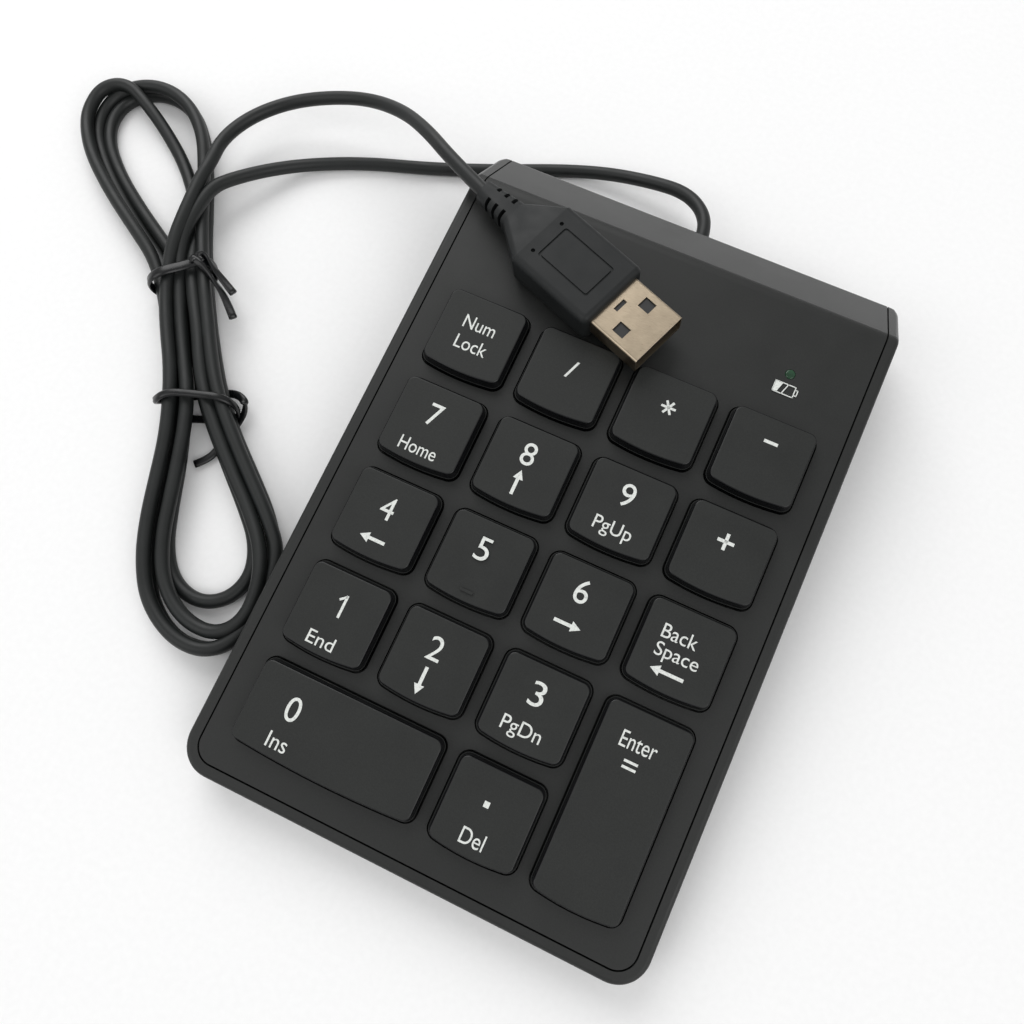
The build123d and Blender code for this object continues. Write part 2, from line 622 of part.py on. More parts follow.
with BuildPart() as plug_overmold:
    extrude(rounded_section(0, OVERMOLD_WIDTH, OVERMOLD_HEIGHT, 1.5), amount=-OVERMOLD_LENGTH)
    loft([
        rounded_section(-OVERMOLD_LENGTH, OVERMOLD_WIDTH, OVERMOLD_HEIGHT, 1.5),
        rounded_section(-OVERMOLD_LENGTH - SHOULDER_LENGTH, 2 * RELIEF_HALF_WIDTH, 5.2, 1.5),
    ])
    fillet(faces().sort_by(Axis(plug_frame.origin, plug_frame.x_dir))[-1].edges(), 1.2)
    with BuildSketch(plug_frame.offset(OVERMOLD_HEIGHT / 2)):
        with Locations((-9.7, 0)):
            RectangleRounded(12.4, 7.5, 0.6)
            RectangleRounded(11.6, 6.7, 0.4, mode=Mode.SUBTRACT)
    extrude(amount=-0.25, mode=Mode.SUBTRACT)
    with BuildSketch(plug_frame.offset(OVERMOLD_HEIGHT / 2)):
        with Locations((-17.0, 3.7), (-17.0, -3.7)):
            Circle(0.4)
    extrude(amount=-0.6, mode=Mode.SUBTRACT)
    socket = rounded_section(0, SHELL_WIDTH + 0.02, SHELL_HEIGHT + 0.02, 0.5)
    extrude(socket, amount=-3.05, mode=Mode.SUBTRACT)
save(plug_overmold, "plug_overmold")

RELIEF_START = -OVERMOLD_LENGTH - SHOULDER_LENGTH
RELIEF_END = RELIEF_START - RELIEF_LENGTH
with BuildPart() as plug_strain_relief:
    loft([
        rounded_section(RELIEF_START, 2 * RELIEF_HALF_WIDTH, 5.2, 1.5),
        rounded_section(RELIEF_END, 4.2, 4.2, 1.6),
    ])
    for distance in (1.4, 3.4, 5.4):
        with BuildSketch(plug_frame.offset(4)):
            with Locations((RELIEF_START - distance, 2.1), (RELIEF_START - distance, -2.1)):
                Rectangle(0.8, 2.2)
        extrude(amount=-8, mode=Mode.SUBTRACT)
save(plug_strain_relief, "plug_strain_relief")

# ------------------------------------------------------------------ cable hank
# Hank coordinates: across (to the right as seen from above) and along (towards its upper loops).
HANK_PLACE = (-87.09, 7.11)
HANK_TURN = 35.53          # its long axis leans this much to the left of +Y
HANK_HEIGHT = 7.4
TIE_ALONG = 14.5           # distance of each tie from the middle
hank = Plane(
    origin=(*HANK_PLACE, 0),
    x_dir=(cos(radians(HANK_TURN)), sin(radians(HANK_TURN)), 0),
    z_dir=(0, 0, 1),
)


def hank_point(across, along, z):
    """World position of a point of the hank."""
    return tuple(hank.from_local_coords((across, along, z)))


HANK_OUTLINE = [
    (6.3, -16), (9.5, -26), (14.2, -46), (11.8, -56), (5.4, -65.5), (-1.5, -67.2), (-9.0, -63.0),
    (-14.2, -49), (-12.2, -33), (-6.8, -17), (-6.2, 12), (-10.5, 24), (-17.5, 40), (-20.7, 55),
    (-17.2, 65.5), (-9.5, 68.7), (1.5, 62.6), (6.8, 53), (8.2, 38), (6.3, 14),
]

with BuildPart() as cord_hank:
    with BuildSketch(hank):
        with BuildLine():
            Polyline(*HANK_OUTLINE, close=True)
        make_face()
        fillet(vertices(), 3.0)
    extrude(amount=HANK_HEIGHT)
    fillet(faces().sort_by(Axis.Z)[-1].edges(), 1.4)
    with BuildSketch(hank):
        with Locations((0, -5)):
            Rectangle(60, 50)
    extrude(amount=1.9, mode=Mode.SUBTRACT)
save(cord_hank, "cord_hank")


# ------------------------------------------------------------------ cable runs and ties
def corner_radii(points):
    """The largest arcs that straight runs between the points allow, one for each corner."""
    radii = []
    for before, corner, after in zip(points, points[1:], points[2:]):
        arriving = Vector(*corner) - Vector(*before)
        leaving = Vector(*after) - Vector(*corner)
        half_turn = radians(arriving.get_angle(leaving)) / 2
        radii.append(0.45 * min(arriving.length, leaving.length) / tan(half_turn))
    return radii


def route_tube(points, diameter):
    """A round tube along straight runs joined by tangent arcs."""
    radii = corner_radii(points)
    with BuildPart() as tube:
        with BuildLine() as path:
            FilletPolyline(*points, radius=radii)
        middle_line = path.wire()
        with BuildSketch(Plane(origin=middle_line @ 0, z_dir=middle_line % 0)):
            Circle(diameter / 2)
        sweep(path=middle_line)
    ideal = pi * diameter**2 / 4 * middle_line.length
    print("radii", [round(radius, 1) for radius in radii])
    print("length", round(middle_line.length, 1), "volume ratio", round(tube.part.volume / ideal, 4))
    return tube


PLUG_TAIL = tuple(plug_frame.from_local_coords((RELIEF_END, 0, 0)))
PLUG_TAIL_AHEAD = tuple(plug_frame.from_local_coords((RELIEF_END - 7.5, 0, 0)))

exit_route = [
    (EXIT_X, WALL_INSIDE, EXIT_HEIGHT),
    (EXIT_X, 70.2, EXIT_HEIGHT),
    (-0.4, 75.6, 8.3),
    (-5.6, 78.7, 7.2),
    (-13.0, 80.0, 5.0),
    (-23.5, 79.6, 2.6),
    (-34.0, 76.7, 1.5),
    (-46.0, 71.0, 1.4),
    (-60.0, 65.3, 1.4),
    (-74.5, 60.6, 1.4),
    (-86.0, 55.4, 1.5),
    (-93.5, 49.6, 3.0),
    (-97.5, 43.6, 5.4),
    (-99.0, 38.2, 6.8),
]
save(route_tube(exit_route, CORD_DIAMETER), "cord_exit_run")

plug_route = [
    PLUG_TAIL,
    PLUG_TAIL_AHEAD,
    (-54.5, 58.4, 22.6),
    (-63.0, 63.4, 19.6),
    (-73.0, 66.5, 15.6),
    (-83.5, 66.6, 11.6),
    (-93.0, 63.4, 8.8),
    (-99.6, 57.8, 7.4),
    (-103.0, 51.0, 7.1),
    (-104.0, 43.5, 7.0),
]
save(route_tube(plug_route, CORD_DIAMETER), "cord_plug_run")


def tie_loop(place, turn, width, height):
    """A loop of tie wire that stands across the hank at a place along it."""
    across = hank.rotated((0, 0, turn))
    middle = hank_point(*place)
    with BuildPart() as loop:
        with BuildSketch(Plane(origin=middle, x_dir=across.x_dir, z_dir=across.y_dir)):
            RectangleRounded(width + 2 * TIE_WIRE, height + 2 * TIE_WIRE, 2.4)
            RectangleRounded(width, height, 1.0, mode=Mode.SUBTRACT)
        extrude(amount=TIE_WIRE / 2, both=True)
        fillet(edges().filter_by(GeomType.LINE), 0.5)
    return loop.part


def tie_tail(points):
    """A loose end of tie wire through points in hank coordinates."""
    with BuildPart() as tail:
        with BuildLine() as path:
            FilletPolyline(*[hank_point(*point) for point in points], radius=1.6)
        middle_line = path.wire()
        with BuildSketch(Plane(origin=middle_line @ 0, z_dir=middle_line % 0)):
            Circle(TIE_WIRE / 2)
        sweep(path=middle_line)
    return tail.part


LOOP_HEIGHT = HANK_HEIGHT - TIE_WIRE + 0.3
LOOP_MIDDLE = TIE_WIRE + LOOP_HEIGHT / 2
WIRE_LEVEL = HANK_HEIGHT + 0.3 + TIE_WIRE / 2

with BuildPart() as twist_tie_upper:
    add(tie_loop((0, TIE_ALONG - 1.5, LOOP_MIDDLE), 0, 13.2, LOOP_HEIGHT))
    add(tie_tail([(4.0, 13.6, WIRE_LEVEL), (7.6, 11.2, WIRE_LEVEL), (11.3, 6.6, 5.4)]))
    add(tie_tail([(4.0, 13.2, WIRE_LEVEL), (8.2, 8.2, WIRE_LEVEL), (9.9, 1.0, 5.4)]))
save(twist_tie_upper, "twist_tie_upper")

with BuildPart() as twist_tie_lower:
    add(tie_loop((0.8, -TIE_ALONG - 1.5, LOOP_MIDDLE), -8, 16.4, LOOP_HEIGHT))
    add(tie_tail([(4.0, -16.8, 0.9), (3.0, -24.0, 0.9), (-2.1, -28.0, 0.95)]))
save(twist_tie_lower, "twist_tie_lower")
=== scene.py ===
import math

import bmesh
import bpy
from mathutils import Matrix, Vector


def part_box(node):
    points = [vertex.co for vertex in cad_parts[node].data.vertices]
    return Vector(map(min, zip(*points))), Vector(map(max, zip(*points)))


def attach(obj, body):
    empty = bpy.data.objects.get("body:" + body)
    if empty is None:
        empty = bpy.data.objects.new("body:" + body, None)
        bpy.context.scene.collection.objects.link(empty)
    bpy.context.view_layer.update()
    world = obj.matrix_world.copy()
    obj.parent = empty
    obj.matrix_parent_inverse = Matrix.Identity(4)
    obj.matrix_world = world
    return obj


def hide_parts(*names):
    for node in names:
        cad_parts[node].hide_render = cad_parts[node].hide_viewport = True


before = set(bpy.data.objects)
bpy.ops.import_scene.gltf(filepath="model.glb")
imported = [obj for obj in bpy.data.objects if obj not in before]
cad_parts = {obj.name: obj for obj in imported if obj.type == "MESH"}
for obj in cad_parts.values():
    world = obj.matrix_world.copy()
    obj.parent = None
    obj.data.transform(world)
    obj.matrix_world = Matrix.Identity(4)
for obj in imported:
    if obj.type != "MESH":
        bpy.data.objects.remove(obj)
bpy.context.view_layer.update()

# A wired numeric keypad: its cable is folded into a tied hank beside it, and its plug lies on the deck.
# Lengths are written in millimetres and turned into metres where the objects are made.

MM = 0.001
DECK_TILT = math.radians(5.3)
DECK_UP = Vector((0.0, -math.sin(DECK_TILT), math.cos(DECK_TILT)))
DECK_BACK = Vector((0.0, math.cos(DECK_TILT), math.sin(DECK_TILT)))
SIDEWAYS = Vector((1.0, 0.0, 0.0))

CORD_DIAMETER = 2.8
HANK_PLACE = Vector((-87.09, 7.11, 0.0))
HANK_TURN = math.radians(35.53)
HANK_ACROSS = Vector((math.cos(HANK_TURN), math.sin(HANK_TURN), 0.0))
HANK_ALONG = Vector((-math.sin(HANK_TURN), math.cos(HANK_TURN), 0.0))


def hank_point(across, along, height):
    """A point beside the keypad, in the hank's own directions."""
    return HANK_PLACE + across * HANK_ACROSS + along * HANK_ALONG + Vector((0.0, 0.0, height))


# ---------------------------------------------------------------- camera, light and floor

CAMERA_PLACE = Vector((10.13, -41.18, 161.49)) * MM
CAMERA_RIGHT = Vector((0.9069, 0.4213, -0.0042))
CAMERA_UP = Vector((-0.4035, 0.8713, 0.2795))
CAMERA_LENS = 29.68


def add_camera():
    camera = bpy.data.objects.new("camera", bpy.data.cameras.new("camera"))
    back = CAMERA_RIGHT.cross(CAMERA_UP).normalized()
    up = back.cross(CAMERA_RIGHT).normalized()
    turn = Matrix((CAMERA_RIGHT.normalized(), up, back)).transposed()
    camera.matrix_world = Matrix.Translation(CAMERA_PLACE) @ turn.to_4x4()
    camera.data.lens = CAMERA_LENS
    camera.data.clip_start = 0.01
    bpy.context.scene.collection.objects.link(camera)
    bpy.context.scene.camera = camera


def add_soft_light(name, place, size, watts, aim=(-0.02, 0.0, 0.0)):
    light = bpy.data.lights.new(name, "AREA")
    light.shape = "DISK"
    light.size = size
    light.energy = watts
    lamp = bpy.data.objects.new(name, light)
    lamp.location = place
    lamp.rotation_euler = (Vector(aim) - Vector(place)).to_track_quat("-Z", "Y").to_euler()
    bpy.context.scene.collection.objects.link(lamp)


# Each softbox: name, place in metres, width in metres and power in watts.
SOFTBOXES = [
    ("back_left_softbox", (-0.60, 0.70, 0.80), 1.0, 7.5),
    ("front_right_softbox", (0.80, -0.40, 0.90), 1.0, 5.0),
    ("front_left_softbox", (-0.70, -0.70, 0.90), 1.0, 3.6),
]
ROOM_LIGHT = 0.50


def add_studio():
    world = bpy.data.worlds.new("studio")
    world.use_nodes = True
    background = world.node_tree.nodes["Background"]
    background.inputs["Color"].default_value = (1.0, 1.0, 1.0, 1.0)
    background.inputs["Strength"].default_value = ROOM_LIGHT
    bpy.context.scene.world = world
    bpy.context.scene.view_settings.view_transform = "Standard"
    for name, place, size, watts in SOFTBOXES:
        add_soft_light(name, place, size, watts)


# ---------------------------------------------------------------- materials

class Recipe:
    """Builds one procedural material around a principled shader."""

    def __init__(self, name, **sockets):
        self.material = bpy.data.materials.new(name)
        self.material.use_nodes = True
        self.tree = self.material.node_tree
        self.shader = self.tree.nodes["Principled BSDF"]
        for socket, value in sockets.items():
            self.shader.inputs[socket.replace("_", " ")].default_value = value
        self.coordinates = self.tree.nodes.new("ShaderNodeTexCoord")

    def node(self, kind, **settings):
        made = self.tree.nodes.new(kind)
        for setting, value in settings.items():
            setattr(made, setting, value)
        return made

    def link(self, source, target):
        self.tree.links.new(source, target)

    def stretched(self, scale, turn=0.0):
        """Object coordinates, scaled along each axis, for grain that runs one way."""
        mapping = self.node("ShaderNodeMapping")
        mapping.inputs["Scale"].default_value = scale
        mapping.inputs["Rotation"].default_value = (0.0, 0.0, turn)
        self.link(self.coordinates.outputs["Object"], mapping.inputs["Vector"])
        return mapping.outputs["Vector"]

    def noise(self, size, detail=3.0, vector=None):
        """Noise whose features are about size millimetres across."""
        noise = self.node("ShaderNodeTexNoise")
        noise.inputs["Scale"].default_value = 1.0 / (size * MM)
        noise.inputs["Detail"].default_value = detail
        self.link(vector or self.coordinates.outputs["Object"], noise.inputs["Vector"])
        return noise.outputs["Fac"]

    def ramp(self, source, stops):
        """A smooth map from a value to colours or greys; each stop is (position, colour)."""
        ramp = self.node("ShaderNodeValToRGB")
        elements = ramp.color_ramp.elements
        while len(elements) < len(stops):
            elements.new(0.5)
        for element, (position, colour) in zip(elements, stops):
            element.position = position
            element.color = grey(colour) if isinstance(colour, float) else (*colour, 1.0)
        self.link(source, ramp.inputs["Fac"])
        return ramp.outputs["Color"]

    def mix(self, factor, first, second, blend="MIX"):
        mix = self.node("ShaderNodeMix", data_type="RGBA", blend_type=blend)
        for socket, value in ((0, factor), (6, first), (7, second)):
            if isinstance(value, bpy.types.NodeSocket):
                self.link(value, mix.inputs[socket])
            elif socket == 0:
                mix.inputs[socket].default_value = value
            else:
                mix.inputs[socket].default_value = (*value, 1.0)
        return mix.outputs[2]

    def maths(self, operation, first, second=0.0):
        node = self.node("ShaderNodeMath", operation=operation)
        for index, value in enumerate((first, second)):
            if isinstance(value, bpy.types.NodeSocket):
                self.link(value, node.inputs[index])
            else:
                node.inputs[index].default_value = value
        return node.outputs[0]

    def colour(self, source):
        self.link(source, self.shader.inputs["Base Color"])

    def roughness(self, source):
        self.link(source, self.shader.inputs["Roughness"])

    def bump(self, *layers):
        """Adds height layers, each (height, depth in millimetres)."""
        previous = None
        for height, depth in layers:
            bump = self.node("ShaderNodeBump")
            bump.inputs["Distance"].default_value = depth * MM
            self.link(height, bump.inputs["Height"])
            if previous:
                self.link(previous, bump.inputs["Normal"])
            previous = bump.outputs["Normal"]
        self.link(previous, self.shader.inputs["Normal"])


def grey(value):
    return (value, value, value, 1.0)


def shade(colour, factor):
    return tuple(channel * factor for channel in colour)


def plain_finish(name, colour, variation, patch, grain, depth, gloss, **sockets):
    """A moulded or coated surface: patches of tone, fine grain and uneven gloss."""
    recipe = Recipe(name, **sockets)
    patches = recipe.noise(patch, 4.0)
    grains = recipe.noise(grain, 2.0)
    tone = recipe.ramp(patches, [(0.3, shade(colour, 1 - variation)), (0.7, shade(colour, 1 + variation))])
    speckle = recipe.ramp(grains, [(0.35, 0.82), (0.65, 1.0)])
    recipe.colour(recipe.mix(1.0, tone, speckle, "MULTIPLY"))
    recipe.roughness(recipe.ramp(patches, [(0.3, gloss[0]), (0.7, gloss[1])]))
    recipe.bump((grains, depth), (patches, depth * 2))
    return recipe


CHARCOAL = (0.0118, 0.0128, 0.0120)


def case_finish():
    """Charcoal moulded plastic with a fine spark-eroded grain, smoother where it slopes to the back."""
    recipe = Recipe("case_plastic", Specular_IOR_Level=0.42)
    patches = recipe.noise(9.0, 4.0)
    grains = recipe.noise(0.24, 2.0)
    tone = recipe.ramp(patches, [(0.3, shade(CHARCOAL, 0.90)), (0.7, shade(CHARCOAL, 1.12))])
    speckle = recipe.ramp(grains, [(0.35, 0.74), (0.65, 1.0)])
    recipe.colour(recipe.mix(1.0, tone, speckle, "MULTIPLY"))
    split = recipe.node("ShaderNodeSeparateXYZ")
    recipe.link(recipe.coordinates.outputs["Normal"], split.inputs["Vector"])
    slope = recipe.ramp(split.outputs["Y"], [(0.25, 0.0), (0.45, 1.0)])
    matte = recipe.ramp(patches, [(0.3, 0.46), (0.7, 0.56)])
    satin = recipe.ramp(patches, [(0.3, 0.20), (0.7, 0.27)])
    recipe.roughness(recipe.mix(slope, matte, satin))
    recipe.bump((grains, 0.010))
    return recipe.material


# The colour of the keys' glossy sides is painted shade, far darker than the charcoal tops of the same
# plastic.
SHADED_KEY_SIDE = (0.0016, 0.0018, 0.0024)
SCUFFED = (0.10, 0.095, 0.085)


def key_finish(name="key_plastic", scuffed=False):
    """Matte charcoal on the key's top, and smooth glossy sides whose near-black colour is painted shade.
    """
    recipe = Recipe(name, Specular_IOR_Level=0.34)
    up = recipe.node("ShaderNodeVectorMath", operation="DOT_PRODUCT")
    recipe.link(recipe.coordinates.outputs["Normal"], up.inputs[0])
    up.inputs[1].default_value = DECK_UP
    top = recipe.ramp(up.outputs["Value"], [(0.86, 0.0), (0.97, 1.0)])
    patches = recipe.noise(7.0, 4.0)
    grains = recipe.noise(0.26, 2.0)
    face = recipe.ramp(patches, [(0.3, shade(CHARCOAL, 1.22)), (0.7, shade(CHARCOAL, 1.50))])
    speckle = recipe.ramp(grains, [(0.35, 0.78), (0.65, 1.0)])
    face = recipe.mix(1.0, face, speckle, "MULTIPLY")
    if scuffed:
        face = recipe.mix(scuff(recipe), face, SCUFFED)
    # The sides get the painted shade colour and the top gets the charcoal face.
    recipe.colour(recipe.mix(top, SHADED_KEY_SIDE, face))
    rough = recipe.ramp(patches, [(0.3, 0.50), (0.7, 0.60)])
    recipe.roughness(recipe.mix(top, (0.24, 0.24, 0.24), rough))
    recipe.bump((recipe.mix(top, (0.5, 0.5, 0.5), grains), 0.014))
    return recipe.material


# The scuff: its place from the middle of the 0 key and in front of the key's back edge, and its reach.
SCUFF_LEFT = 6.6
SCUFF_FRONT = 1.35
SCUFF_REACH = (3.3, 0.32)


def scuff(recipe):
    """A worn streak along the rear edge of the 0 key."""
    low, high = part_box("key_0")
    centre = ((low[0] + high[0]) / 2 - SCUFF_LEFT * MM, high[1] - SCUFF_FRONT * MM)
    split = recipe.node("ShaderNodeSeparateXYZ")
    recipe.link(recipe.coordinates.outputs["Object"], split.inputs["Vector"])
    masks = []
    for axis, place, reach in zip("XY", centre, SCUFF_REACH):
        offset = recipe.maths("SUBTRACT", split.outputs[axis], place)
        share = recipe.maths("DIVIDE", recipe.maths("ABSOLUTE", offset), reach * MM)
        masks.append(recipe.maths("SUBTRACT", 1.0, recipe.maths("MINIMUM", share, 1.0)))
    patchy = recipe.ramp(recipe.noise(0.7, 3.0), [(0.4, 0.0), (0.6, 1.0)])
    both = recipe.maths("MULTIPLY", masks[0], masks[1])
    core = recipe.maths("MINIMUM", recipe.maths("MULTIPLY", both, 3.0), 0.7)
    return recipe.maths("MULTIPLY", core, patchy)


def cord_finish():
    """Satin black cable jacket with faint die lines and finger marks."""
    recipe = plain_finish(
        "cord_jacket", (0.0095, 0.0112, 0.0108), 0.16, 5.0, 0.3, 0.008, (0.42, 0.54),
        Specular_IOR_Level=0.38,
    )
    return recipe.material


PLUG_TURN = math.radians(-20.9)


def steel_finish(name, colour, brush, gloss):
    """Plated or brushed metal, with grain drawn out along the sheet."""
    recipe = Recipe(name, Metallic=1.0)
    drawn = recipe.noise(1.0, 4.0, recipe.stretched(brush, PLUG_TURN))
    patches = recipe.noise(3.0, 3.0)
    tone = recipe.ramp(drawn, [(0.25, shade(colour, 0.86)), (0.75, shade(colour, 1.06))])
    stain = recipe.ramp(patches, [(0.35, 0.88), (0.65, 1.0)])
    recipe.colour(recipe.mix(1.0, tone, stain, "MULTIPLY"))
    recipe.roughness(recipe.ramp(drawn, [(0.2, gloss[0]), (0.8, gloss[1])]))
    recipe.bump((drawn, 0.006))
    return recipe.material


def board_finish():
    """Green solder mask over a faint weave, with copper tracks beneath it."""
    recipe = Recipe("board_laminate", Roughness=0.32, Coat_Weight=0.3)
    tracks = recipe.node("ShaderNodeTexVoronoi", feature="DISTANCE_TO_EDGE")
    tracks.inputs["Scale"].default_value = 1.0 / (2.4 * MM)
    recipe.link(recipe.coordinates.outputs["Object"], tracks.inputs["Vector"])
    line = recipe.ramp(tracks.outputs["Distance"], [(0.06, 1.0), (0.10, 0.0)])
    weave = recipe.noise(0.35, 2.0, recipe.stretched((1.0, 3.0, 1.0)))
    mask = recipe.ramp(weave, [(0.3, (0.008, 0.07, 0.028)), (0.7, (0.012, 0.10, 0.04))])
    recipe.colour(recipe.mix(line, mask, (0.03, 0.17, 0.05)))
    recipe.bump((line, 0.03), (weave, 0.01))
    return recipe.material


def film_finish():
    """Translucent polyester film with grey printed silver tracks."""
    recipe = Recipe("membrane_film", IOR=1.6)
    lines = recipe.node("ShaderNodeTexWave", wave_type="BANDS", bands_direction="X")
    lines.inputs["Scale"].default_value = 1.0 / (22.0 * MM)
    lines.inputs["Distortion"].default_value = 1.6
    recipe.link(recipe.coordinates.outputs["Object"], lines.inputs["Vector"])
    printed = recipe.ramp(lines.outputs["Fac"], [(0.80, 0.0), (0.86, 1.0)])
    haze = recipe.ramp(recipe.noise(4.0), [(0.3, (0.42, 0.45, 0.44)), (0.7, (0.52, 0.54, 0.52))])
    recipe.colour(recipe.mix(printed, haze, (0.16, 0.16, 0.16)))
    recipe.roughness(recipe.mix(printed, (0.22, 0.22, 0.22), (0.45, 0.45, 0.45)))
    recipe.bump((printed, 0.02))
    return recipe.material


def silicone_finish():
    """Milky silicone rubber with a dusty surface."""
    recipe = plain_finish(
        "dome_silicone", (0.46, 0.47, 0.48), 0.08, 5.0, 0.3, 0.02, (0.55, 0.70),
        Subsurface_Weight=0.25, Subsurface_Scale=0.002, Sheen_Weight=0.2,
    )
    return recipe.material


def lens_finish(name, colour, gloss):
    """Tinted clear resin with a slightly wavy surface."""
    recipe = Recipe(name, Transmission_Weight=0.35, IOR=1.49)
    waves = recipe.noise(0.9, 2.0)
    recipe.colour(recipe.ramp(waves, [(0.3, shade(colour, 0.7)), (0.7, shade(colour, 1.2))]))
    recipe.roughness(recipe.ramp(waves, [(0.3, gloss), (0.7, gloss + 0.08)]))
    recipe.bump((waves, 0.02))
    return recipe.material


def paint_finish():
    """White legend ink, a little thin and uneven at its edges."""
    recipe = Recipe("legend_ink", Specular_IOR_Level=0.3)
    thin = recipe.noise(0.35, 3.0)
    recipe.colour(recipe.ramp(thin, [(0.25, (0.50, 0.52, 0.50)), (0.55, (0.72, 0.74, 0.71))]))
    recipe.roughness(recipe.ramp(thin, [(0.3, 0.42), (0.7, 0.55)]))
    recipe.bump((thin, 0.008))
    return recipe.material


def floor_finish():
    """Plain pale paper."""
    recipe = Recipe("pale_paper", Specular_IOR_Level=0.2)
    fibres = recipe.noise(1.2, 2.0)
    recipe.colour(recipe.ramp(fibres, [(0.3, (0.885, 0.885, 0.885)), (0.7, (0.905, 0.905, 0.905))]))
    recipe.roughness(recipe.ramp(fibres, [(0.3, 0.85), (0.7, 0.92)]))
    recipe.bump((fibres, 0.002))
    return recipe.material


def tie_finish():
    """Glossy black plastic-coated wire."""
    recipe = plain_finish(
        "tie_plastic", (0.0035, 0.004, 0.0045), 0.2, 2.0, 0.4, 0.006, (0.24, 0.34),
        Specular_IOR_Level=0.42,
    )
    return recipe.material


def overmold_finish():
    """Matte soft-touch plug moulding."""
    recipe = plain_finish(
        "plug_overmold", (0.0085, 0.0100, 0.0102), 0.12, 4.0, 0.2, 0.012, (0.50, 0.62),
        Specular_IOR_Level=0.34,
    )
    return recipe.material


def dress_cad_nodes():
    """Gives each CAD node its finish."""
    case = case_finish()
    keys = key_finish()
    overmold = overmold_finish()
    film = film_finish()
    zinc = steel_finish("zinc_plate", (0.62, 0.62, 0.60), (1.0, 9.0, 1.0), (0.30, 0.42))
    screws = steel_finish("screw_steel", (0.50, 0.50, 0.49), (3.0, 3.0, 1.0), (0.22, 0.34))
    shell = steel_finish("plug_steel", (0.46, 0.38, 0.28), (1.0, 10.0, 10.0), (0.26, 0.36))
    contacts = steel_finish("contact_gold", (0.83, 0.62, 0.30), (1.0, 6.0, 1.0), (0.20, 0.30))
    ivory = plain_finish("ivory_nylon", (0.60, 0.57, 0.48), 0.05, 2.0, 0.2, 0.01, (0.35, 0.50)).material
    black_nylon = plain_finish(
        "black_nylon", (0.016, 0.016, 0.017), 0.15, 3.0, 0.2, 0.01, (0.40, 0.55)
    ).material
    finishes = {
        "bottom_case": case,
        "top_cover": case,
        "key_0": key_finish("key_0_plastic", scuffed=True),
        "led_light_guide": lens_finish("green_lens", (0.02, 0.075, 0.035), 0.12),
        "status_led": lens_finish("led_resin", (0.20, 0.50, 0.22), 0.10),
        "rubber_dome_sheet": silicone_finish(),
        "membrane_top_sheet": film,
        "membrane_spacer": film,
        "membrane_bottom_sheet": film,
        "backing_plate": zinc,
        "case_screws": screws,
        "plate_screws": screws,
        "clamp_screws": screws,
        "board_screws": screws,
        "circuit_board": board_finish(),
        "controller_chip": plain_finish(
            "chip_epoxy", (0.02, 0.02, 0.021), 0.1, 1.5, 0.1, 0.006, (0.50, 0.62)
        ).material,
        "board_parts": plain_finish(
            "component_ceramic", (0.22, 0.16, 0.10), 0.3, 1.2, 0.1, 0.006, (0.30, 0.50)
        ).material,
        "tail_clamp_bar": black_nylon,
        "cable_header": ivory,
        "cable_connector": ivory,
        "cable_grommet": overmold,
        "inner_cable": cord_finish(),
        "inner_wires": plain_finish(
            "wire_insulation", (0.34, 0.30, 0.26), 0.35, 2.6, 0.2, 0.004, (0.30, 0.42)
        ).material,
        "rubber_feet": plain_finish(
            "foot_rubber", (0.03, 0.03, 0.03), 0.15, 2.0, 0.25, 0.02, (0.70, 0.85)
        ).material,
        "plug_shell": shell,
        "plug_insulator": plain_finish(
            "plug_insulator", (0.012, 0.012, 0.013), 0.15, 1.5, 0.15, 0.006, (0.30, 0.45)
        ).material,
        "plug_contacts": contacts,
        "plug_overmold": overmold,
        "plug_strain_relief": overmold,
    }
    for name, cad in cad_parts.items():
        finish = finishes.get(name) or (keys if name.startswith("key_") else None)
        if finish:
            for place in cad.material_slots:
                place.material = finish


# ---------------------------------------------------------------- making pieces

def smooth_line(points, steps=10):
    """Points along a curve that is drawn towards the given ones and passes each run's middle."""
    points = [Vector(point) for point in points]
    middles = [points[0]] + [(a + b) / 2 for a, b in zip(points[1:-2], points[2:-1])] + [points[-1]]
    line = [points[0]]
    for start, corner, end in zip(middles, points[1:-1], middles[1:]):
        for step in range(1, steps + 1):
            share = step / steps
            line.append(start * (1 - share) ** 2 + corner * 2 * share * (1 - share) + end * share ** 2)
    return line


def strip_section(width, thickness, sides=16):
    """A coated wire's section: round in the middle, with a thin web on each side."""
    outline = []
    for side in range(sides):
        angle = 2 * math.pi * side / sides
        reach = abs(math.cos(angle)) ** 0.8 * math.copysign(1, math.cos(angle))
        rise = abs(math.sin(angle)) ** 1.2 * math.copysign(1, math.sin(angle))
        web = 0.75 + 0.25 * math.cos(3 * angle) ** 2
        outline.append((width / 2 * reach, thickness / 2 * rise * web))
    return outline


def sweep_strip(name, points, width, thickness, side, twist=0.0):
    """A closed tube of the strip's section along a smooth line, kept flat towards side."""
    line = smooth_line(points)
    section = strip_section(width, thickness)
    mesh = bmesh.new()
    rings = []
    for index, point in enumerate(line):
        ahead = line[min(index + 1, len(line) - 1)] - line[max(index - 1, 0)]
        ahead.normalize()
        flat = (side - side.dot(ahead) * ahead).normalized()
        rise = ahead.cross(flat)
        angle = twist * index / (len(line) - 1)
        across = flat * math.cos(angle) + rise * math.sin(angle)
        over = rise * math.cos(angle) - flat * math.sin(angle)
        rings.append([mesh.verts.new((point + across * a + over * b) * MM) for a, b in section])
    for first, second in zip(rings, rings[1:]):
        for index in range(len(section)):
            following = (index + 1) % len(section)
            mesh.faces.new((first[index], first[following], second[following], second[index]))
    mesh.faces.new(list(reversed(rings[0])))
    mesh.faces.new(rings[-1])
    bmesh.ops.recalc_face_normals(mesh, faces=mesh.faces)
    return finished(name, mesh)


